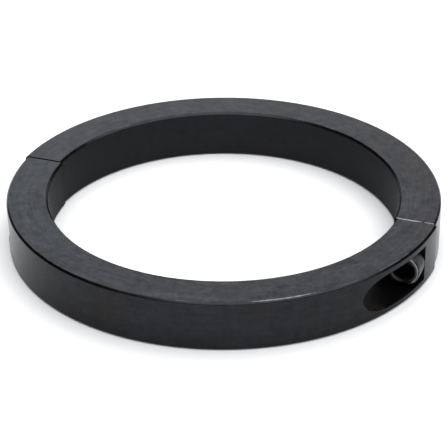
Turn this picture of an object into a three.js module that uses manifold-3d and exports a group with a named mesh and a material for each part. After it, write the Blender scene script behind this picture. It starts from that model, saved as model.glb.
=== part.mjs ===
// Two-piece clamp-on shaft collar: a chamfered steel ring sawn across a diameter into two halves,
// closed by two socket head cap screws whose heads sit in pockets of the front half.
// Millimetres. The origin is the centre of the bore on the lower face. +Z runs along the bore,
// X along the joint between the halves, and the front half lies on the -Y side.

import * as THREE from "three";
import { mergeVertices } from "three/addons/utils/BufferGeometryUtils.js";
import Module from "manifold-3d";

const wasm = await Module();
wasm.setup();

// The ring before it is sawn in two.
const OUTER_RADIUS = 101.6;
const BORE_RADIUS = 82.55;
const WIDTH = 23.6;
const OUTER_CHAMFER = 0.88;
const BORE_CHAMFER = 1.07;
const RING_SEGMENTS = 144;

// The saw cut, and how the halves lie when they are pushed together again.
const SAW_CUT = 3.0;
const JOINT_GAP = 0.3;
const SIDE_STEP = 0.9;

// The screw holes: how far they are from the middle, and the slot milled down to each head's seat.
const SCREW_OFFSET = 92.9;
const SEAT_DEPTH = 14.3;
const POCKET_RADIUS = 8.6;
const CLEARANCE_RADIUS = 5.5;
const TAPPED_RADIUS = 5.3;
const COUNTERSINK = 0.8;
const HOLE_SEGMENTS = 48;

// The cap screws: M10 x 30, with the standard head.
const SHANK_RADIUS = 5.0;
const SHANK_LENGTH = 30;
const TIP_CHAMFER = 1.0;
const HEAD_RADIUS = 8.0;
const HEAD_HEIGHT = 10;
const HEAD_CHAMFER = 0.8;
const SEAT_GAP = 0.2;
const HEX_FLATS = 8;
const HEX_DEPTH = 5;
const SOCKET_MOUTH = 5.2;
const DRILL_POINT = 1.4;
const SCREW_SEGMENTS = 48;

// Each half keeps half of the ring less half of the saw cut, so its arc's centre lies past the joint.
const CENTRE_SHIFT = (SAW_CUT - JOINT_GAP) / 2;
const FRONT_X = SIDE_STEP / 2;
const REAR_X = -SIDE_STEP / 2;
const MID_HEIGHT = WIDTH / 2;
const SEAT_Y = -JOINT_GAP / 2 - SEAT_DEPTH;
const BEYOND = 3 * OUTER_RADIUS;

const blackOxide = new THREE.MeshStandardMaterial({
  name: "black_oxide_steel",
  color: 0x55565a,
  roughness: 0.55,
  metalness: 0.7,
});

const alloyScrew = new THREE.MeshStandardMaterial({
  name: "black_alloy_screw",
  color: 0x3c3d40,
  roughness: 0.4,
  metalness: 0.8,
});

// Turns a closed three.js geometry into a solid that can be cut and joined.
function solidOf(geometry) {
  const bare = geometry.clone();
  bare.deleteAttribute("normal");
  bare.deleteAttribute("uv");
  const merged = mergeVertices(bare, 1e-4);
  const mesh = new wasm.Mesh({
    numProp: 3,
    vertProperties: merged.attributes.position.array,
    triVerts: new Uint32Array(merged.index.array),
  });
  return new wasm.Manifold(mesh);
}

// Turns a finished solid back into a named mesh with flat shading.
function meshOf(name, solid, material) {
  const data = solid.getMesh();
  const geometry = new THREE.BufferGeometry();
  geometry.setAttribute("position", new THREE.BufferAttribute(data.vertProperties, 3));
  geometry.setIndex(new THREE.BufferAttribute(data.triVerts, 1));
  const flat = geometry.toNonIndexed();
  flat.computeVertexNormals();
  const mesh = new THREE.Mesh(flat, material);
  mesh.name = name;
  return mesh;
}

// A solid of revolution about the Y axis, from [radius, y] pairs.
function turned(profile, segments) {
  const points = profile.map(([radius, y]) => new THREE.Vector2(radius, y));
  return new THREE.LatheGeometry(points, segments);
}

// The whole ring, standing on its lower face, with all four circular edges chamfered.
function ring() {
  const section = [
    [BORE_RADIUS, BORE_CHAMFER],
    [BORE_RADIUS + BORE_CHAMFER, 0],
    [OUTER_RADIUS - OUTER_CHAMFER, 0],
    [OUTER_RADIUS, OUTER_CHAMFER],
    [OUTER_RADIUS, WIDTH - OUTER_CHAMFER],
    [OUTER_RADIUS - OUTER_CHAMFER, WIDTH],
    [BORE_RADIUS + BORE_CHAMFER, WIDTH],
    [BORE_RADIUS, WIDTH - BORE_CHAMFER],
    [BORE_RADIUS, BORE_CHAMFER],
  ];
  const blank = turned(section, RING_SEGMENTS);
  blank.rotateX(Math.PI / 2);
  return solidOf(blank);
}

// One half of the ring. side is -1 for the front half and +1 for the rear half.
function halfRing(side, centreX) {
  const cut = new THREE.BoxGeometry(BEYOND, BEYOND, BEYOND);
  cut.translate(0, side * (JOINT_GAP - BEYOND) / 2, 0);
  return ring()
    .translate([centreX, -side * CENTRE_SHIFT, 0])
    .subtract(solidOf(cut));
}

// A round cutter along Y at mid height, from one y to a larger one.
function borer(x, radius, fromY, toY) {
  const cutter = new THREE.CylinderGeometry(radius, radius, toY - fromY, HOLE_SEGMENTS);
  cutter.translate(x, (fromY + toY) / 2, MID_HEIGHT);
  return solidOf(cutter);
}

// A cone that breaks the edge of a hole where it meets a joint face. side is +1 into the rear half.
function countersink(x, radius, side) {
  const faceY = side * JOINT_GAP / 2;
  const wide = radius + COUNTERSINK;
  const profile = [
    [0, faceY - side * 0.5],
    [wide, faceY - side * 0.5],
    [wide, faceY],
    [radius, faceY + side * COUNTERSINK],
    [0, faceY + side * COUNTERSINK],
  ];
  const ordered = side > 0 ? profile : profile.reverse();
  const cone = turned(ordered, HOLE_SEGMENTS);
  cone.translate(x, 0, MID_HEIGHT);
  return solidOf(cone);
}

// The slot that a cutter as wide as the pocket leaves when it comes in through the outer wall:
// round on the side towards the bore, straight outwards from there. end is +1 at the right.
function pocket(end) {
  const slot = new THREE.BoxGeometry(BEYOND, BEYOND, 2 * POCKET_RADIUS);
  slot.translate(end * (SCREW_OFFSET + BEYOND / 2), SEAT_Y - BEYOND / 2, MID_HEIGHT);
  return solidOf(slot).add(borer(end * SCREW_OFFSET, POCKET_RADIUS, SEAT_Y - BEYOND, SEAT_Y));
}

// The half that takes the screw heads: a clearance hole from the joint face at each end,
// opening into a flat-ended pocket that runs out through the round outer wall.
function frontHalf() {
  let half = halfRing(-1, FRONT_X);
  for (const end of [-1, 1]) {
    const x = end * SCREW_OFFSET;
    half = half
      .subtract(pocket(end))
      .subtract(borer(x, CLEARANCE_RADIUS, SEAT_Y - 1, 1))
      .subtract(countersink(x, CLEARANCE_RADIUS, -1));
  }
  return half;
}

// The half that takes the threads: a tapped hole at each end, also running out through the wall.
function rearHalf() {
  let half = halfRing(1, REAR_X);
  for (const end of [-1, 1]) {
    const x = end * SCREW_OFFSET;
    half = half
      .subtract(borer(x, TAPPED_RADIUS, -1, BEYOND))
      .subtract(countersink(x, TAPPED_RADIUS, 1));
  }
  return half;
}

// A socket head cap screw along Y, its head toward -Y and resting on the seat of its pocket.
function capScrew(x) {
  const underHead = SEAT_Y - SEAT_GAP;
  const face = underHead - HEAD_HEIGHT;
  const tip = underHead + SHANK_LENGTH;
  const outline = [
    [0, face],
    [HEAD_RADIUS - HEAD_CHAMFER, face],
    [HEAD_RADIUS, face + HEAD_CHAMFER],
    [HEAD_RADIUS, underHead],
    [SHANK_RADIUS, underHead],
    [SHANK_RADIUS, tip - TIP_CHAMFER],
    [SHANK_RADIUS - TIP_CHAMFER, tip],
    [0, tip],
  ];
  const hexRadius = HEX_FLATS / Math.sqrt(3);
  const hex = new THREE.CylinderGeometry(hexRadius, hexRadius, HEX_DEPTH + 1, 6);
  hex.translate(0, face + (HEX_DEPTH - 1) / 2, 0);
  const mouthDepth = (SOCKET_MOUTH - HEX_FLATS / 2) / Math.sqrt(3);
  const mouth = new THREE.CylinderGeometry(HEX_FLATS / 2, SOCKET_MOUTH, mouthDepth, SCREW_SEGMENTS);
  mouth.translate(0, face + mouthDepth / 2, 0);
  const point = new THREE.CylinderGeometry(0, HEX_FLATS / 2, DRILL_POINT, SCREW_SEGMENTS / 2);
  point.translate(0, face + HEX_DEPTH + DRILL_POINT / 2, 0);
  return solidOf(turned(outline, SCREW_SEGMENTS))
    .subtract(solidOf(hex))
    .subtract(solidOf(mouth))
    .subtract(solidOf(point))
    .translate([x, 0, MID_HEIGHT]);
}

const collar = new THREE.Group();
collar.name = "shaft_collar";
collar.add(meshOf("front_half", frontHalf(), blackOxide));
collar.add(meshOf("rear_half", rearHalf(), blackOxide));
collar.add(meshOf("right_cap_screw", capScrew(SCREW_OFFSET), alloyScrew));
collar.add(meshOf("left_cap_screw", capScrew(-SCREW_OFFSET), alloyScrew));

export default collar;
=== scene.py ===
"""Looks of a two-piece clamp-on shaft collar: two black oxide half rings and their two cap screws.

Everything is built in the CAD frame: X along the joint between the halves, the front half at -Y,
Z along the bore, origin at the centre of the bore on the lower face. Lengths are metres.
"""

import math
from types import SimpleNamespace

import bmesh
import bpy
from mathutils import Matrix, Vector


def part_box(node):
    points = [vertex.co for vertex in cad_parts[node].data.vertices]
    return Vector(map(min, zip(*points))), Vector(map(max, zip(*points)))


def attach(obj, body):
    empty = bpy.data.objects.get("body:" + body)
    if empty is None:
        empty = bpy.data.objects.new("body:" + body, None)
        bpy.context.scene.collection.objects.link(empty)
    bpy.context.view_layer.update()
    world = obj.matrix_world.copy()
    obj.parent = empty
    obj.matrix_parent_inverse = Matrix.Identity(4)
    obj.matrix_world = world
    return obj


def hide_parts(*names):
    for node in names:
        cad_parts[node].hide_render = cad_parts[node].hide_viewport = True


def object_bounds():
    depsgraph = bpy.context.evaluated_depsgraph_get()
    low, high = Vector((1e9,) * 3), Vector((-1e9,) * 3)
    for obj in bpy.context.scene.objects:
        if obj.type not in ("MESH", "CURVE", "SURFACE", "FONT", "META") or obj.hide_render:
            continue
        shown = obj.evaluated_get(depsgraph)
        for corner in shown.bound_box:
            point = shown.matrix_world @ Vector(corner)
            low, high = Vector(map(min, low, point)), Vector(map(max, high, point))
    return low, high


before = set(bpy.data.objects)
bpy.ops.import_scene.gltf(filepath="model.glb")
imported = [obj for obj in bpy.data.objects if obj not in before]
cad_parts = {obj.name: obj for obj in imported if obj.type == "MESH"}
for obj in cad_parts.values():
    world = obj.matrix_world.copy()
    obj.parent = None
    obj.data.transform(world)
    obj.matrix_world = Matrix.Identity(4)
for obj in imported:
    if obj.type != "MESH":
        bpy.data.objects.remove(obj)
cad_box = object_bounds()

MM = 0.001

# The ring, before it was sawn in two. Its outer radius is a hair under the nominal 101.6 mm, so that
# the round wall stays inside the box of the CAD's flats.
OUTER_RADIUS = 101.579 * MM
BORE_RADIUS = 82.55 * MM
OUTER_CHAMFER = 0.88 * MM
BORE_CHAMFER = 1.07 * MM
CORNER_ROUND = 0.6 * MM
RING_STEPS = 360

# The holes for the screws, with depths from the joint face.
SCREW_NODES = ("right_cap_screw", "left_cap_screw")
SEAT_DEPTH = 14.3 * MM
POCKET_RADIUS = 8.6 * MM
CLEARANCE_RADIUS = 5.5 * MM
COUNTERSINK = 0.8 * MM
THREAD_START = 0.2 * MM
TAPPED_DEPTH = 24 * MM
RELIEF_RADIUS = 5.4 * MM
HOLE_REACH = 60 * MM
HOLE_STEPS = 96

# How far a cutter reaches past the face it cuts, and the gaps and slivers that are cleaned up after.
OVERSHOOT = 1 * MM
POINT_GAP = 0.02 * MM
SLIVER = 0.01 * MM

# How far the sharp edges are broken: the halves', the screws', and those of the left joint.
EDGE_BREAK = 0.16 * MM
SCREW_EDGE_BREAK = 0.1 * MM
JOINT_BREAK = 0.5 * MM

# The M10 x 1.5 threads: the screws' own, and those of the tapped holes round them.
PITCH = 1.5 * MM
THREAD_CREST = 4.97 * MM
THREAD_ROOT = 4.16 * MM
THREAD_FADE = 0.9 * MM
TAPPED_CREST = 5.03 * MM
TAPPED_ROOT = 5.29 * MM
THREAD_STEPS = 72
ROWS_PER_TURN = 10

# A thread's section, as shares of half its pitch: the flat at its root, then its flank. The rest is
# its crest. The tip's slope is how much radius it loses for each length it fades over.
ROOT_FLAT = 0.12
FLANK = 0.7
TIP_SLOPE = 0.4

# The screws' heads and their hex sockets. The knurl begins over its run-out behind the rim's chamfer
# and ends above the seat, where a plain band is left.
HEAD_RADIUS = 7.99 * MM
HEAD_HEIGHT = 10 * MM
HEAD_CHAMFER = 0.8 * MM
RIM_ROUND = 0.1 * MM
FOOT_BEVEL = 0.25 * MM
FILLET = 0.5 * MM
SHOULDER = THREAD_ROOT + 0.2 * MM
KNURL_COUNT = 66
KNURL_DEPTH = 0.17 * MM
KNURL_RUNOUT = 0.25 * MM
KNURL_END = 1.3 * MM
PLAIN_BAND = 1.1 * MM
HEX_FLATS = 8 * MM
HEX_DEPTH = 5 * MM
SOCKET_MOUTH = 5.2 * MM
SOCKET_BOTTOM = HEX_FLATS / 2 - 0.1 * MM
DRILL_POINT = 1.3 * MM

# The camera, by where it stands and what it looks at. Angles in degrees, the lens in millimetres.
VIEW_AZIMUTH = 20.54
VIEW_ELEVATION = 29.69
VIEW_DISTANCE = 840.4 * MM
VIEW_AIM = Vector((0.09 * MM, 0.0, 5.0 * MM))
VIEW_ROLL = -0.584
LENS = 143.05
CLIP_START = 10 * MM

# The studio: a soft box overhead that leans to the right, a card opposite the camera, a low fill on the
# camera's side, the dim room round them, and the floor's own glow. Light as linear RGB. The card's
# light is CARD_FOOT of its mean at the floor and more towards its top, and changes from left to right
# within the sine CARD_SPREAD of its middle.
BOX_AZIMUTH = 95.0
BOX_ELEVATION = 80.0
BOX_HALF_WIDTH = math.radians(39.5)
CARD_HALF_WIDTH = math.radians(32)
CARD_TOP = math.radians(42)
LIGHT_BLUR = math.radians(5)
BOX_LIGHT = (2.75, 2.78, 2.82, 1)
CARD_LEFT_LIGHT = (1.54, 1.62, 1.75, 1)
CARD_RIGHT_LIGHT = (1.36, 1.34, 1.38, 1)
CARD_FOOT = 0.3
CARD_SPREAD = 0.14
ROOM_LIGHT = (0.11, 0.11, 0.115, 1)
FILL_LIGHT = (0.6, 0.6, 0.61, 1)
FILL_HALF_WIDTH = math.radians(75)
FILL_TOP = math.radians(38)
FLOOR_GLOW = 0.06
FLOOR_COLOUR = (0.85, 0.85, 0.85, 1)
FLOOR_HALF_SIZE = 3.0

# How rough the finish is: the halves and the screws, from least to most, and how much rougher the
# streaks, the bore and holes, and the sockets are.
RING_ROUGHNESS = (0.14, 0.24)
SCREW_ROUGHNESS = (0.2, 0.34)
STREAK_ROUGHER = 0.08
BORE_ROUGHER = 0.35
SOCKET_ROUGHER = 0.4

# How deep the relief is, how much the mottle shows on the walls and the faces, and how far the tool's
# streaks are drawn out, in metres of noise for each radian round the ring.
RING_RELIEF = 0.016 * MM
SCREW_RELIEF = 0.01 * MM
WALL_CONTRAST = 0.25
FACE_CONTRAST = 0.85
STREAK_PITCH = 0.0075

# How fine each noise is, in waves for each metre.
STREAKS = 1000
BLOTCHES = 240
CLOUD = 30
GRAIN = 1500
BROWNING = 85
RUSTING = 210
CHATTER = 500
PATCHES = 75
BURRS = 330
SCREW_CLOUD = 130
SCREW_GRAIN = 2200

# How near a surface still counts as on it: a flat face, a turned wall, and the wall of a hole.
FACE_SKIN = 0.05 * MM
WALL_SKIN = 0.25 * MM
HOLE_SKIN = 0.1 * MM

# Wear: how far in from an edge it reaches, over how much it fades, and how much metal it bares.
EDGE_WEAR = 0.5 * MM
JOINT_WEAR = 0.27 * MM
WEAR_BLUR = 0.12 * MM
RIM_BARED = 0.2

# Where round the ring its outer rim is scraped: the scrape's middle, and the cosines of the angles
# from there at which it ends and is full.
SCRAPE_ANGLE = math.radians(-56)
SCRAPE_ENDS = 0.984
SCRAPE_FULL = 0.9995

# The worn steel on a screw head's rim, also a painted highlight line: its radius and depth on the head,
# and how far it reaches.
RIM_EDGE = (HEAD_RADIUS - HEAD_CHAMFER, 0, 0)
RIM_LINE_REACH = 0.3 * MM

# The rust in the pockets: how far in front of the ring's middle it begins and over how much it comes
# in, and how far under a pocket's middle it begins and is full.
RUST_START = 44 * MM
RUST_BLUR = 6 * MM
RUST_TOP = 0.6 * POCKET_RADIUS
RUST_FULL = 0.9 * POCKET_RADIUS

# How deep in a screw's socket the painted shade begins and is full.
SOCKET_SHADE_TOP = 0.1 * MM
SOCKET_SHADE_FULL = 0.7 * MM

# Colours of the metal, as linear RGB. EDGE_TINT dims what the oxide reflects at a glancing angle.
OXIDE_DARK = (0.004, 0.0043, 0.0049, 1)
OXIDE_PALE = (0.041, 0.0425, 0.046, 1)
OXIDE_BROWN = (0.027, 0.0235, 0.0215, 1)
# The next two are painted shade for the walls of the pockets and holes, dark to pale.
HOLE_SHADE_DARK = (0.0025, 0.0025, 0.003, 1)
HOLE_SHADE_PALE = (0.012, 0.0115, 0.011, 1)
RUST = (0.09, 0.042, 0.018, 1)
# Painted shade in the left joint's groove, where it runs into the gap.
JOINT_SHADE = (0.002, 0.002, 0.002, 1)
BARE_STEEL = (0.56, 0.57, 0.6, 1)
SCREW_DARK = (0.03, 0.031, 0.033, 1)
SCREW_PALE = (0.06, 0.06, 0.062, 1)
# Painted shade down in a screw's hex socket.
SOCKET_SHADE = (0.004, 0.004, 0.004, 1)
# Worn steel on a screw head's rim, bright enough to paint a highlight line.
RIM_STEEL_HIGHLIGHT = (0.42, 0.43, 0.45, 1)
EDGE_TINT = (0.8, 0.8, 0.8, 1)


# ---------------------------------------------------------------- mesh helpers


def new_object(name, mesh):
    """An object holding mesh, linked into the scene."""
    piece = bpy.data.objects.new(name, mesh)
    bpy.context.scene.collection.objects.link(piece)
    return piece


def revolved(profile, steps, closed, shaped=None):
    """A bmesh turned about Z from (radius, z) pairs. closed joins the last pair to the first.

    shaped(radius, z, angle), if given, returns the radius to use at that place.
    """
    solid = bmesh.new()
    rows = []
    for radius, z in profile:
        if radius == 0:
            rows.append([solid.verts.new((0.0, 0.0, z))])
            continue
        row = []
        for step in range(steps):
            angle = 2 * math.pi * step / steps
            reach = shaped(radius, z, angle) if shaped else radius
            row.append(solid.verts.new((reach * math.cos(angle), reach * math.sin(angle), z)))
        rows.append(row)
    pairs = list(zip(rows, rows[1:]))
    if closed:
        pairs.append((rows[-1], rows[0]))
    for lower, upper in pairs:
        for step in range(steps):
            after = (step + 1) % steps
            corners = [lower[step % len(lower)], lower[after % len(lower)]]
            corners += [upper[after % len(upper)], upper[step % len(upper)]]
            unique = list(dict.fromkeys(corners))
            if len(unique) > 2:
                solid.faces.new(unique)
    bmesh.ops.recalc_face_normals(solid, faces=solid.faces)
    return solid


def rounded(corners, radius, steps=6):
    """The closed outline through corners with every corner rounded to the radius."""
    outline = []
    for index, corner in enumerate(corners):
        here = Vector(corner)
        before = (Vector(corners[index - 1]) - here).normalized()
        after = (Vector(corners[(index + 1) % len(corners)]) - here).normalized()
        half_angle = before.angle(after) / 2
        inset = radius / math.tan(half_angle)
        centre = here + (before + after).normalized() * radius / math.sin(half_angle)
        start = here + before * inset - centre
        end = here + after * inset - centre
        for step in range(steps + 1):
            spoke = start.lerp(end, step / steps).normalized() * radius
            outline.append(tuple(centre + spoke))
    return outline


def mesh_from(solid, name):
    """Turns a bmesh into a mesh and frees it."""
    mesh = bpy.data.meshes.new(name)
    solid.to_mesh(mesh)
    solid.free()
    return mesh


def carved(name, blank, operations):
    """The blank mesh after (operation, cutter mesh) pairs, each an exact boolean."""
    piece = new_object(name, blank)
    tools = []
    for operation, cutter in operations:
        tool = new_object("tool", cutter)
        step = piece.modifiers.new("carve", "BOOLEAN")
        step.operation = operation
        step.solver = "EXACT"
        step.object = tool
        tools.append(tool)
    bake_modifiers(piece)
    for tool in tools:
        bpy.data.objects.remove(tool)
    return piece


def bake_modifiers(piece):
    """Replaces the piece's mesh by what its modifiers make of it."""
    bpy.context.view_layer.update()
    evaluated = piece.evaluated_get(bpy.context.evaluated_depsgraph_get())
    made = bpy.data.meshes.new_from_object(evaluated)
    piece.modifiers.clear()
    piece.data = made


def finish_edges(piece, width, sharp_degrees=32):
    """Cleans up after the booleans, breaks the sharp edges by a bevel and shades the rest smoothly."""
    cleaned = bmesh.new()
    cleaned.from_mesh(piece.data)
    bmesh.ops.remove_doubles(cleaned, verts=cleaned.verts, dist=POINT_GAP)
    bmesh.ops.dissolve_degenerate(cleaned, edges=cleaned.edges, dist=SLIVER)
    loose = [edge for edge in cleaned.edges if not edge.link_faces]
    bmesh.ops.delete(cleaned, geom=loose, context="EDGES")
    cleaned.to_mesh(piece.data)
    cleaned.free()
    bevel = piece.modifiers.new("edge_break", "BEVEL")
    bevel.width = width
    bevel.segments = 2
    bevel.limit_method = "ANGLE"
    bevel.angle_limit = math.radians(sharp_degrees)
    bevel.use_clamp_overlap = True
    piece.data.shade_smooth()
    weighted = piece.modifiers.new("flat_faces", "WEIGHTED_NORMAL")
    weighted.keep_sharp = True
    bake_modifiers(piece)


# ---------------------------------------------------------------- the half rings


def ring_mesh(centre, width):
    """The whole turned ring about a centre, with its four chamfered edges."""
    section = [
        (BORE_RADIUS, BORE_CHAMFER),
        (BORE_RADIUS + BORE_CHAMFER, 0),
        (OUTER_RADIUS - OUTER_CHAMFER, 0),
        (OUTER_RADIUS, OUTER_CHAMFER),
        (OUTER_RADIUS, width - OUTER_CHAMFER),
        (OUTER_RADIUS - OUTER_CHAMFER, width),
        (BORE_RADIUS + BORE_CHAMFER, width),
        (BORE_RADIUS, width - BORE_CHAMFER),
    ]
    solid = revolved(rounded(section, CORNER_ROUND), RING_STEPS, closed=True)
    bmesh.ops.translate(solid, verts=solid.verts, vec=centre)
    return mesh_from(solid, "ring")


def block_mesh(side, face_y):
    """A block that covers everything beyond a joint face, on the +Y side of it or the -Y side."""
    solid = bmesh.new()
    bmesh.ops.create_cube(solid, size=4 * OUTER_RADIUS)
    bmesh.ops.translate(solid, verts=solid.verts, vec=(0, face_y + side * 2 * OUTER_RADIUS, 0))
    return mesh_from(solid, "block")


def screw_axis(node):
    """Where a screw's axis lies, as its x and z."""
    low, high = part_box(node)
    return (low.x + high.x) / 2, (low.z + high.z) / 2


def along_y(solid, x, z):
    """Lays a bmesh that was turned about Z along Y, its +Z end at +Y, with its axis at x, z."""
    bmesh.ops.rotate(solid, verts=solid.verts, matrix=Matrix.Rotation(-math.pi / 2, 3, "X"))
    bmesh.ops.translate(solid, verts=solid.verts, vec=(x, 0, z))
    return solid


def borer_mesh(profile, x, z):
    """A cutter turned about an axis along Y, from (radius, y) pairs."""
    solid = revolved(profile, HOLE_STEPS, closed=False)
    return mesh_from(along_y(solid, x, z), "borer")


def slot_mesh(x, z, seat_y):
    """The milled pocket: round towards the bore, with straight sides running out through the wall."""
    steps = HOLE_STEPS // 2
    outline = [(2 * OUTER_RADIUS, -POCKET_RADIUS), (2 * OUTER_RADIUS, POCKET_RADIUS)]
    for step in range(steps + 1):
        angle = math.pi / 2 + math.pi * step / steps
        outline.append((abs(x) + POCKET_RADIUS * math.cos(angle), POCKET_RADIUS * math.sin(angle)))
    outward = 1 if x > 0 else -1
    solid = bmesh.new()
    ends = []
    for y in (seat_y, seat_y - 2 * OUTER_RADIUS):
        ends.append([solid.verts.new((outward * reach, y, z + rise)) for reach, rise in outline])
    solid.faces.new(ends[0])
    solid.faces.new(ends[1])
    for index in range(len(outline)):
        after = (index + 1) % len(outline)
        solid.faces.new((ends[0][index], ends[0][after], ends[1][after], ends[1][index]))
    bmesh.ops.recalc_face_normals(solid, faces=solid.faces)
    return mesh_from(solid, "slot")


def joint_groove(face_z):
    """A cutter that breaks the joint's edges on one face of the ring, at the left end only."""
    side = JOINT_BREAK * math.sqrt(2)
    solid = bmesh.new()
    bmesh.ops.create_cube(solid, size=1.0)
    bmesh.ops.scale(solid, verts=solid.verts, vec=(OUTER_RADIUS, side, side))
    bmesh.ops.rotate(solid, verts=solid.verts, matrix=Matrix.Rotation(math.pi / 4, 3, "X"))
    bmesh.ops.translate(solid, verts=solid.verts, vec=(-OUTER_RADIUS, 0, face_z))
    return mesh_from(solid, "groove")


def front_half():
    """The half with the pockets for the screws' heads, and the plain holes for their shanks."""
    low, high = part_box("front_half")
    centre = Vector(((low.x + high.x) / 2, low.y + OUTER_RADIUS, 0))
    joint_y = high.y
    seat_y = joint_y - SEAT_DEPTH
    operations = [("DIFFERENCE", block_mesh(+1, joint_y))]
    for node in SCREW_NODES:
        x, z = screw_axis(node)
        profile = [
            (0, seat_y - OVERSHOOT),
            (CLEARANCE_RADIUS, seat_y - OVERSHOOT),
            (CLEARANCE_RADIUS, joint_y - COUNTERSINK),
            (CLEARANCE_RADIUS + 2 * COUNTERSINK, joint_y + COUNTERSINK),
            (0, joint_y + COUNTERSINK),
        ]
        operations.append(("DIFFERENCE", slot_mesh(x, z, seat_y)))
        operations.append(("DIFFERENCE", borer_mesh(profile, x, z)))
    operations += [("DIFFERENCE", joint_groove(face_z)) for face_z in (low.z, high.z)]
    half = carved("front_half_steel", ring_mesh(centre, high.z - low.z), operations)
    finish_edges(half, EDGE_BREAK)
    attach(half, "front")
    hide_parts("front_half")
    return half, centre


def rear_half():
    """The half the screws thread into. Past the threads its holes run on plain, out through the wall."""
    low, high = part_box("rear_half")
    centre = Vector(((low.x + high.x) / 2, high.y - OUTER_RADIUS, 0))
    joint_y = low.y
    operations = [("DIFFERENCE", block_mesh(-1, joint_y))]
    for node in SCREW_NODES:
        x, z = screw_axis(node)
        mouth = [
            (0, joint_y - COUNTERSINK),
            (TAPPED_CREST + 2 * COUNTERSINK, joint_y - COUNTERSINK),
            (TAPPED_CREST, joint_y + COUNTERSINK),
            (0, joint_y + COUNTERSINK),
        ]
        operations.append(("DIFFERENCE", borer_mesh(mouth, x, z)))
        start = joint_y + THREAD_START
        tap = threaded_rod(TAPPED_CREST, TAPPED_ROOT, start, joint_y + TAPPED_DEPTH, 0)
        operations.append(("DIFFERENCE", mesh_from(along_y(tap, x, z), "tap")))
        way_out = [
            (0, joint_y + TAPPED_DEPTH - PITCH),
            (RELIEF_RADIUS, joint_y + TAPPED_DEPTH - PITCH),
            (RELIEF_RADIUS, joint_y + HOLE_REACH),
            (0, joint_y + HOLE_REACH),
        ]
        operations.append(("DIFFERENCE", borer_mesh(way_out, x, z)))
    operations += [("DIFFERENCE", joint_groove(face_z)) for face_z in (low.z, high.z)]
    half = carved("rear_half_steel", ring_mesh(centre, high.z - low.z), operations)
    finish_edges(half, EDGE_BREAK)
    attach(half, "rear")
    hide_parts("rear_half")
    return half, centre


# ---------------------------------------------------------------- the screws


def thread_share(phase):
    """How far a thread stands out at this phase of its pitch, from 0 at its root to 1 at its crest."""
    slope = min(phase, 1 - phase) * 2
    return min(1.0, max(0.0, (slope - ROOT_FLAT) / FLANK))


def threaded_rod(low_radius, high_radius, start, end, lead):
    """A bmesh rod about Z with a right-hand thread between two radii. It tapers over lead at its end."""
    rows = int(math.ceil((end - start) / PITCH * ROWS_PER_TURN))
    profile = [(low_radius, start + (end - start) * row / rows) for row in range(rows + 1)]
    profile = [(0, start)] + profile + [(0, end)]

    def shaped(radius, z, angle):
        share = thread_share((z / PITCH - angle / (2 * math.pi)) % 1.0)
        fade = min(1.0, (end - z) / lead) if lead else 1.0
        return radius + (high_radius - low_radius) * share * fade - (1 - fade) * TIP_SLOPE * lead

    return revolved(profile, THREAD_STEPS, closed=False, shaped=shaped)


def head_mesh(face, seat):
    """The knurled head about Z, from its face down to the fillet under it."""
    rim = HEAD_RADIUS - HEAD_CHAMFER
    smooth_radius = HEAD_RADIUS - KNURL_DEPTH
    profile = [
        (0, face),
        (rim - RIM_ROUND, face),
        (rim + 0.5 * RIM_ROUND, face + 0.6 * RIM_ROUND),
        (smooth_radius, face + HEAD_CHAMFER),
        (HEAD_RADIUS, face + HEAD_CHAMFER + KNURL_RUNOUT),
        (HEAD_RADIUS, seat - KNURL_END),
        (smooth_radius, seat - PLAIN_BAND),
        (smooth_radius, seat - FOOT_BEVEL),
        (smooth_radius - FOOT_BEVEL, seat),
        (SHOULDER + FILLET, seat),
        (SHOULDER + 0.2 * FILLET, seat + 0.3 * FILLET),
        (SHOULDER, seat + FILLET),
        (0, seat + FILLET),
    ]

    def shaped(radius, z, angle):
        groove = 0.5 - 0.5 * math.cos(KNURL_COUNT * angle)
        return radius - max(0.0, radius - smooth_radius) * groove

    return revolved(profile, KNURL_COUNT * 6, closed=False, shaped=shaped)


def hex_cutter(face):
    """The six flats of the hex socket about Z."""
    corner = HEX_FLATS / math.sqrt(3)
    top = face - OVERSHOOT
    bottom = face + HEX_DEPTH
    solid = revolved([(0, top), (corner, top), (corner, bottom), (0, bottom)], 6, closed=False)
    bmesh.ops.rotate(solid, verts=solid.verts, matrix=Matrix.Rotation(math.pi / 6, 3, "Z"))
    return solid


def socket_cones(face):
    """The countersink at the socket's mouth, and the drill point at its bottom, as two cutters."""
    slope = math.sqrt(3)
    top = face - OVERSHOOT
    end = face + (SOCKET_MOUTH - SOCKET_BOTTOM) / slope
    mouth = [(0, top), (SOCKET_MOUTH + slope * OVERSHOOT, top), (SOCKET_BOTTOM, end), (0, end)]
    bottom = face + HEX_DEPTH
    point = [
        (0, bottom - OVERSHOOT),
        (SOCKET_BOTTOM, bottom - OVERSHOOT),
        (SOCKET_BOTTOM, bottom),
        (0, bottom + DRILL_POINT),
    ]
    return revolved(mouth, HOLE_STEPS, closed=False), revolved(point, HOLE_STEPS, closed=False)


def cap_screw(name, node, body):
    """A socket head cap screw: its head and threaded rod as one, less the hex socket."""
    low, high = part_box(node)
    x, z = screw_axis(node)
    face = low.y
    seat = face + HEAD_HEIGHT
    mouth, point = socket_cones(face)
    rod = threaded_rod(THREAD_ROOT, THREAD_CREST, seat - FILLET, high.y, THREAD_FADE)
    operations = [
        ("UNION", mesh_from(along_y(rod, x, z), "rod")),
        ("DIFFERENCE", mesh_from(along_y(hex_cutter(face), x, z), "hex")),
        ("DIFFERENCE", mesh_from(along_y(mouth, x, z), "mouth")),
        ("DIFFERENCE", mesh_from(along_y(point, x, z), "point")),
    ]
    head = mesh_from(along_y(head_mesh(face, seat), x, z), "head")
    screw = carved(name, head, operations)
    finish_edges(screw, SCREW_EDGE_BREAK, sharp_degrees=50)
    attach(screw, body)
    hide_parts(node)
    return screw


# ---------------------------------------------------------------- materials


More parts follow.
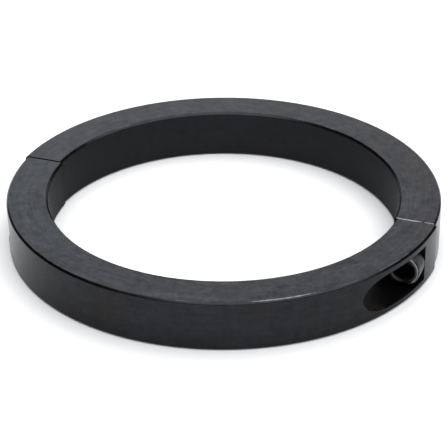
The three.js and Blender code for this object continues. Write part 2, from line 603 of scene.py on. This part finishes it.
class Nodes:
    """A short way to write a node tree. Each call adds a node, sets or links its inputs, and returns
    its output.
    """

    def __init__(self, tree):
        self.tree = tree

    def add(self, kind, inputs=(), output=0, **settings):
        """A node of any kind."""
        node = self.tree.nodes.new(kind)
        for key, value in settings.items():
            setattr(node, key, value)
        for key, value in dict(inputs).items():
            socket = node.inputs[key]
            if isinstance(value, bpy.types.NodeSocket):
                self.tree.links.new(value, socket)
            else:
                socket.default_value = value
        return node.outputs[output]

    def surface(self, inputs):
        """A Principled shader with these inputs, linked to the material's output."""
        shader = self.add("ShaderNodeBsdfPrincipled", inputs)
        end = self.tree.nodes.new("ShaderNodeOutputMaterial")
        self.tree.links.new(shader, end.inputs["Surface"])

    def split(self, vector):
        """The three coordinates of a vector."""
        node = self.tree.nodes.new("ShaderNodeSeparateXYZ")
        self.tree.links.new(vector, node.inputs[0])
        return node.outputs

    def join(self, x, y, z=0.0):
        """The vector with three coordinates."""
        return self.add("ShaderNodeCombineXYZ", {0: x, 1: y, 2: z})

    def math(self, operation, a, b=0.0, c=0.0):
        """A number worked out from numbers."""
        return self.add("ShaderNodeMath", {0: a, 1: b, 2: c}, operation=operation)

    def product(self, first, *others):
        """Numbers multiplied together."""
        for other in others:
            first = self.math("MULTIPLY", first, other)
        return first

    def weighted(self, *parts):
        """The sum of numbers, each times its weight, from (number, weight) pairs."""
        total = 0.0
        for value, weight in parts:
            total = self.math("MULTIPLY_ADD", value, weight, total)
        return total

    def vector(self, operation, a, b=(0, 0, 0), scale=1.0):
        """A vector worked out from vectors."""
        return self.add("ShaderNodeVectorMath", {0: a, 1: b, 3: scale}, operation=operation)

    def measure(self, operation, a, b=(0, 0, 0)):
        """A number worked out from vectors, such as their distance or dot product."""
        return self.add("ShaderNodeVectorMath", {0: a, 1: b}, output="Value", operation=operation)

    def noise(self, where, scale, detail=3.0, roughness=0.55):
        """Noise from 0 to 1 with about this many waves for each metre."""
        values = {"Vector": where, "Scale": scale, "Detail": detail, "Roughness": roughness}
        return self.add("ShaderNodeTexNoise", values)

    def span(self, value, low, high, to_low=0.0, to_high=1.0, smooth=False):
        """Maps low to to_low and high to to_high, with the values between, and holds both ends."""
        kind = "SMOOTHSTEP" if smooth else "LINEAR"
        values = {"Value": value, "From Min": low, "From Max": high, "To Min": to_low, "To Max": to_high}
        return self.add("ShaderNodeMapRange", values, interpolation_type=kind)

    def mix(self, share, a, b):
        """Colour a where the share is 0, and colour b where it is 1."""
        return self.add("ShaderNodeMix", {0: share, 6: a, 7: b}, output=2, data_type="RGBA")


def new_material(name):
    """An empty node material, and its Nodes helper."""
    material = bpy.data.materials.new(name)
    material.use_nodes = True
    material.node_tree.nodes.clear()
    return material, Nodes(material.node_tree)


def ring_places(n, centre, width, joint_y):
    """Where a point of a half ring lies, in all the ways that its finish asks for."""
    place = n.vector("SUBTRACT", n.add("ShaderNodeTexCoord", output="Object"), centre)
    x, y, z = n.split(place)
    return SimpleNamespace(
        place=place,
        x=x,
        y=y,
        z=z,
        radius=n.measure("LENGTH", n.vector("MULTIPLY", place, (1, 1, 0))),
        height=n.math("ABSOLUTE", n.math("SUBTRACT", z, width / 2)),
        angle=n.math("ARCTAN2", y, x),
        from_joint=n.math("SUBTRACT", y, joint_y - centre.y),
    )


def worn_rims(n, at, width):
    """How far the rims of the flat faces are rubbed through to bare metal, from 0 to 1."""
    section = n.join(at.radius, at.height)
    from_outer_rim = n.measure("DISTANCE", section, (OUTER_RADIUS - OUTER_CHAMFER, width / 2, 0))
    from_bore_rim = n.measure("DISTANCE", section, (BORE_RADIUS + BORE_CHAMFER, width / 2, 0))
    chatter = n.span(n.noise(at.place, CHATTER, roughness=0.6), 0.3, 0.6, 0.5, 1.0)
    patches = n.span(n.noise(at.place, PATCHES, detail=2.0), 0.5, 0.66, 0.1, 0.5)
    round_ring = n.math("COSINE", n.math("SUBTRACT", at.angle, SCRAPE_ANGLE))
    outer_side = n.math("GREATER_THAN", at.radius, (OUTER_RADIUS + BORE_RADIUS) / 2)
    scraped = n.product(n.span(round_ring, SCRAPE_ENDS, SCRAPE_FULL, smooth=True), outer_side)
    reach = n.product(chatter, n.math("MAXIMUM", patches, scraped), EDGE_WEAR)
    past = n.math("SUBTRACT", reach, n.math("MINIMUM", from_bore_rim, from_outer_rim))
    return n.span(past, 0, 2 * WEAR_BLUR, 0, RIM_BARED)


def burred_joint(n, at, width):
    """How far the right joint's edges are burred and bare, from 0 to 1."""
    from_edge = n.measure("DISTANCE", n.join(at.from_joint, at.height), (0, width / 2, 0))
    burrs = n.span(n.noise(at.place, BURRS, roughness=0.6), 0.38, 0.52)
    on_right = n.math("GREATER_THAN", at.x, 0.0)
    reach = n.product(burrs, on_right, JOINT_WEAR)
    return n.span(n.math("SUBTRACT", reach, from_edge), 0, WEAR_BLUR)


def in_holes(n, at):
    """1 on the walls of the pockets and holes and in the middle of the joint faces, 0 elsewhere."""
    return n.product(
        n.math("LESS_THAN", at.radius, OUTER_RADIUS - WALL_SKIN),
        n.math("GREATER_THAN", at.radius, BORE_RADIUS + WALL_SKIN),
        n.math("LESS_THAN", at.height, POCKET_RADIUS + HOLE_SKIN),
    )


def painted_hole_shade_and_rust(n, at, width, cloud):
    """Painted shade on the walls of the pockets and holes, dark to pale by a cloud, with rust low down at
    a pocket's outer end.
    """
    low_down = n.span(at.z, width / 2 - RUST_FULL, width / 2 - RUST_TOP, 1, 0)
    outer_end = n.span(at.y, -RUST_START - RUST_BLUR, -RUST_START, 1, 0)
    rust = n.product(low_down, outer_end, n.span(n.noise(at.place, RUSTING), 0.38, 0.62))
    colour = n.mix(n.span(cloud, 0.35, 0.65), HOLE_SHADE_DARK, HOLE_SHADE_PALE)
    return n.mix(rust, colour, RUST)


def oxide_colour(n, at, width, mottle):
    """Mottled oxide, with more contrast on the flat faces than on the walls, and browner in places."""
    on_face = n.math("GREATER_THAN", at.height, width / 2 - FACE_SKIN)
    contrast = n.math("MULTIPLY_ADD", on_face, FACE_CONTRAST - WALL_CONTRAST, WALL_CONTRAST)
    swing = n.math("SUBTRACT", n.span(mottle, 0.4, 0.61), 0.5)
    colour = n.mix(n.math("MULTIPLY_ADD", swing, contrast, 0.5), OXIDE_DARK, OXIDE_PALE)
    brown = n.span(n.noise(at.place, BROWNING), 0.52, 0.72, 0, 0.5)
    return n.mix(brown, colour, OXIDE_BROWN)


def black_oxide(name, centre, width, joint_y):
    """Black oxide on turned steel: mottled, streaked by the tool, worn to metal along its edges, with
    painted shade in its holes and its left joint.
    """
    material, n = new_material(name)
    at = ring_places(n, centre, width, joint_y)

    # Streaks run round the ring, as the tool left them.
    lathe = n.join(at.radius, at.z, n.math("MULTIPLY", at.angle, STREAK_PITCH))
    streaks = n.noise(lathe, STREAKS, detail=4.0, roughness=0.65)
    blotches = n.noise(at.place, BLOTCHES, detail=4.0, roughness=0.68)
    cloud = n.noise(at.place, CLOUD, roughness=0.6)
    grain = n.noise(at.place, GRAIN, roughness=0.65)
    mottle = n.weighted((streaks, 0.3), (blotches, 0.34), (grain, 0.22), (cloud, 0.14))

    holes = in_holes(n, at)
    # Painted shade along the left joint, in the groove that runs into the gap.
    in_joint = n.math("LESS_THAN", n.math("ABSOLUTE", at.from_joint), JOINT_BREAK)
    shaded_left_joint = n.product(in_joint, n.math("LESS_THAN", at.x, 0.0))
    worn = n.math("MAXIMUM", worn_rims(n, at, width), burred_joint(n, at, width))
    colour = oxide_colour(n, at, width, mottle)
    # The walls of the pockets and holes take painted shade, with rust low in the pockets.
    colour = n.mix(holes, colour, painted_hole_shade_and_rust(n, at, width, cloud))
    colour = n.mix(shaded_left_joint, colour, JOINT_SHADE)
    colour = n.mix(worn, colour, BARE_STEEL)

    roughness = n.span(mottle, 0.4, 0.6, *RING_ROUGHNESS)
    roughness = n.math("MULTIPLY_ADD", streaks, STREAK_ROUGHER, roughness)
    in_bore = n.math("LESS_THAN", at.radius, BORE_RADIUS + HOLE_SKIN)
    roughness = n.math("MULTIPLY_ADD", n.math("MAXIMUM", in_bore, holes), BORE_ROUGHER, roughness)
    relief = n.weighted((grain, 0.7), (streaks, 0.5))
    bump = n.add("ShaderNodeBump", {"Strength": 0.6, "Distance": RING_RELIEF, "Height": relief})
    n.surface({
        "Base Color": colour,
        "Metallic": 1.0,
        "Specular Tint": EDGE_TINT,
        "Roughness": roughness,
        "Normal": bump,
    })
    return material


def screw_oxide(name, node):
    """Black oxide on a forged and rolled alloy screw: worn steel on its rim that also paints a highlight
    line, painted shade down in its socket.
    """
    x, z = screw_axis(node)
    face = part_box(node)[0].y
    material, n = new_material(name)
    place = n.vector("SUBTRACT", n.add("ShaderNodeTexCoord", output="Object"), (x, 0, z))
    radius = n.measure("LENGTH", n.vector("MULTIPLY", place, (1, 0, 1)))
    depth = n.math("SUBTRACT", n.measure("DOT_PRODUCT", place, (0, 1, 0)), face)
    # Painted shade down in the hex socket, from just under its mouth.
    in_socket = n.product(
        n.math("LESS_THAN", radius, SOCKET_MOUTH),
        n.span(depth, SOCKET_SHADE_TOP, SOCKET_SHADE_FULL),
        n.math("LESS_THAN", depth, HEAD_HEIGHT),
    )
    cloud = n.noise(place, SCREW_CLOUD)
    grain = n.noise(place, SCREW_GRAIN)
    # Worn steel round the rim, which also paints a highlight line there.
    from_rim = n.measure("DISTANCE", n.join(radius, depth), RIM_EDGE)
    near_rim = n.span(from_rim, 0.5 * RIM_LINE_REACH, RIM_LINE_REACH, 1, 0)
    worn = n.product(near_rim, n.span(cloud, 0.35, 0.6, 0.2, 0.7))
    colour = n.mix(n.span(cloud, 0.35, 0.65), SCREW_DARK, SCREW_PALE)
    colour = n.mix(in_socket, colour, SOCKET_SHADE)
    colour = n.mix(worn, colour, RIM_STEEL_HIGHLIGHT)
    roughness = n.span(cloud, 0.3, 0.7, *SCREW_ROUGHNESS)
    roughness = n.math("MULTIPLY_ADD", in_socket, SOCKET_ROUGHER, roughness)
    bump = n.add("ShaderNodeBump", {"Strength": 0.4, "Distance": SCREW_RELIEF, "Height": grain})
    n.surface({
        "Base Color": colour,
        "Metallic": 1.0,
        "Roughness": roughness,
        "Normal": bump,
    })
    return material


# ---------------------------------------------------------------- floor, light and camera


def add_floor():
    """A pale seamless floor."""
    solid = bmesh.new()
    bmesh.ops.create_grid(solid, x_segments=1, y_segments=1, size=FLOOR_HALF_SIZE)
    floor = new_object("floor", mesh_from(solid, "floor"))
    floor.location.z = cad_box[0].z
    material, n = new_material("pale_floor")
    n.surface({
        "Base Color": FLOOR_COLOUR,
        "Roughness": 1.0,
        "Specular IOR Level": 0.0,
        "Emission Color": (1, 1, 1, 1),
        "Emission Strength": FLOOR_GLOW,
    })
    floor.data.materials.append(material)


def sky_direction(azimuth, elevation):
    """The direction towards an azimuth, measured as the camera's is, and an elevation, in degrees."""
    azimuth, elevation = math.radians(azimuth), math.radians(elevation)
    return Vector((
        math.sin(azimuth) * math.cos(elevation),
        -math.cos(azimuth) * math.cos(elevation),
        math.sin(elevation),
    ))


def within(n, cosine, half_width):
    """1 within half_width of a direction and 0 beyond it, from the cosine of the angle to it."""
    return n.span(cosine, math.cos(half_width + LIGHT_BLUR), math.cos(half_width), smooth=True)


def below(n, upward, top):
    """1 under an elevation and 0 over it, from its sine."""
    return n.span(upward, math.sin(top), math.sin(top + LIGHT_BLUR), 1, 0, smooth=True)


def add_light():
    """The studio's light: the dim room, the fill, the card and the soft box, each over the one before."""
    world = bpy.data.worlds.new("studio")
    bpy.context.scene.world = world
    world.use_nodes = True
    world.node_tree.nodes.clear()
    n = Nodes(world.node_tree)
    direction = n.add("ShaderNodeTexCoord", output="Generated")
    upward = n.measure("DOT_PRODUCT", direction, (0, 0, 1))
    level = n.vector("NORMALIZE", n.vector("MULTIPLY", direction, (1, 1, 0)))
    away = n.measure("DOT_PRODUCT", level, sky_direction(VIEW_AZIMUTH + 180, 0))
    rightward = n.measure("DOT_PRODUCT", level, sky_direction(VIEW_AZIMUTH + 90, 0))

    fill = n.span(n.math("MULTIPLY", away, -1), math.cos(FILL_HALF_WIDTH), 1, smooth=True)
    fill = n.product(fill, below(n, upward, FILL_TOP))
    colour = n.mix(fill, ROOM_LIGHT, FILL_LIGHT)

    card = n.product(within(n, away, CARD_HALF_WIDTH), below(n, upward, CARD_TOP))
    card_light = n.mix(n.span(rightward, -CARD_SPREAD, CARD_SPREAD), CARD_LEFT_LIGHT, CARD_RIGHT_LIGHT)
    climb = n.span(upward, 0, math.sin(CARD_TOP), CARD_FOOT, 2 - CARD_FOOT)
    colour = n.mix(card, colour, n.vector("SCALE", card_light, scale=climb))

    overhead = n.measure("DOT_PRODUCT", direction, sky_direction(BOX_AZIMUTH, BOX_ELEVATION))
    colour = n.mix(within(n, overhead, BOX_HALF_WIDTH), colour, BOX_LIGHT)
    end = world.node_tree.nodes.new("ShaderNodeOutputWorld")
    world.node_tree.links.new(n.add("ShaderNodeBackground", {"Color": colour}), end.inputs["Surface"])
    bpy.context.scene.view_settings.view_transform = "Standard"


def add_camera():
    """The camera, where the photo was taken from."""
    data = bpy.data.cameras.new("camera")
    data.lens = LENS
    data.clip_start = CLIP_START
    camera = bpy.data.objects.new("camera", data)
    bpy.context.scene.collection.objects.link(camera)
    camera.location = sky_direction(VIEW_AZIMUTH, VIEW_ELEVATION) * VIEW_DISTANCE
    turn = (camera.location - VIEW_AIM).to_track_quat("Z", "Y").to_matrix()
    turn = turn @ Matrix.Rotation(math.radians(VIEW_ROLL), 3, "Z")
    camera.rotation_euler = turn.to_euler()
    bpy.context.scene.camera = camera


# ---------------------------------------------------------------- the collar in its studio


front, front_centre = front_half()
rear, rear_centre = rear_half()
ring_width = cad_box[1].z - cad_box[0].z
front_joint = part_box("front_half")[1].y
rear_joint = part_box("rear_half")[0].y
front.data.materials.append(black_oxide("front_black_oxide", front_centre, ring_width, front_joint))
rear.data.materials.append(black_oxide("rear_black_oxide", rear_centre, ring_width, rear_joint))
for side in ("right", "left"):
    screw = cap_screw(f"{side}_cap_screw_steel", f"{side}_cap_screw", f"{side}_screw")
    screw.data.materials.append(screw_oxide(f"{side}_screw_oxide", f"{side}_cap_screw"))

add_floor()
add_light()
add_camera()
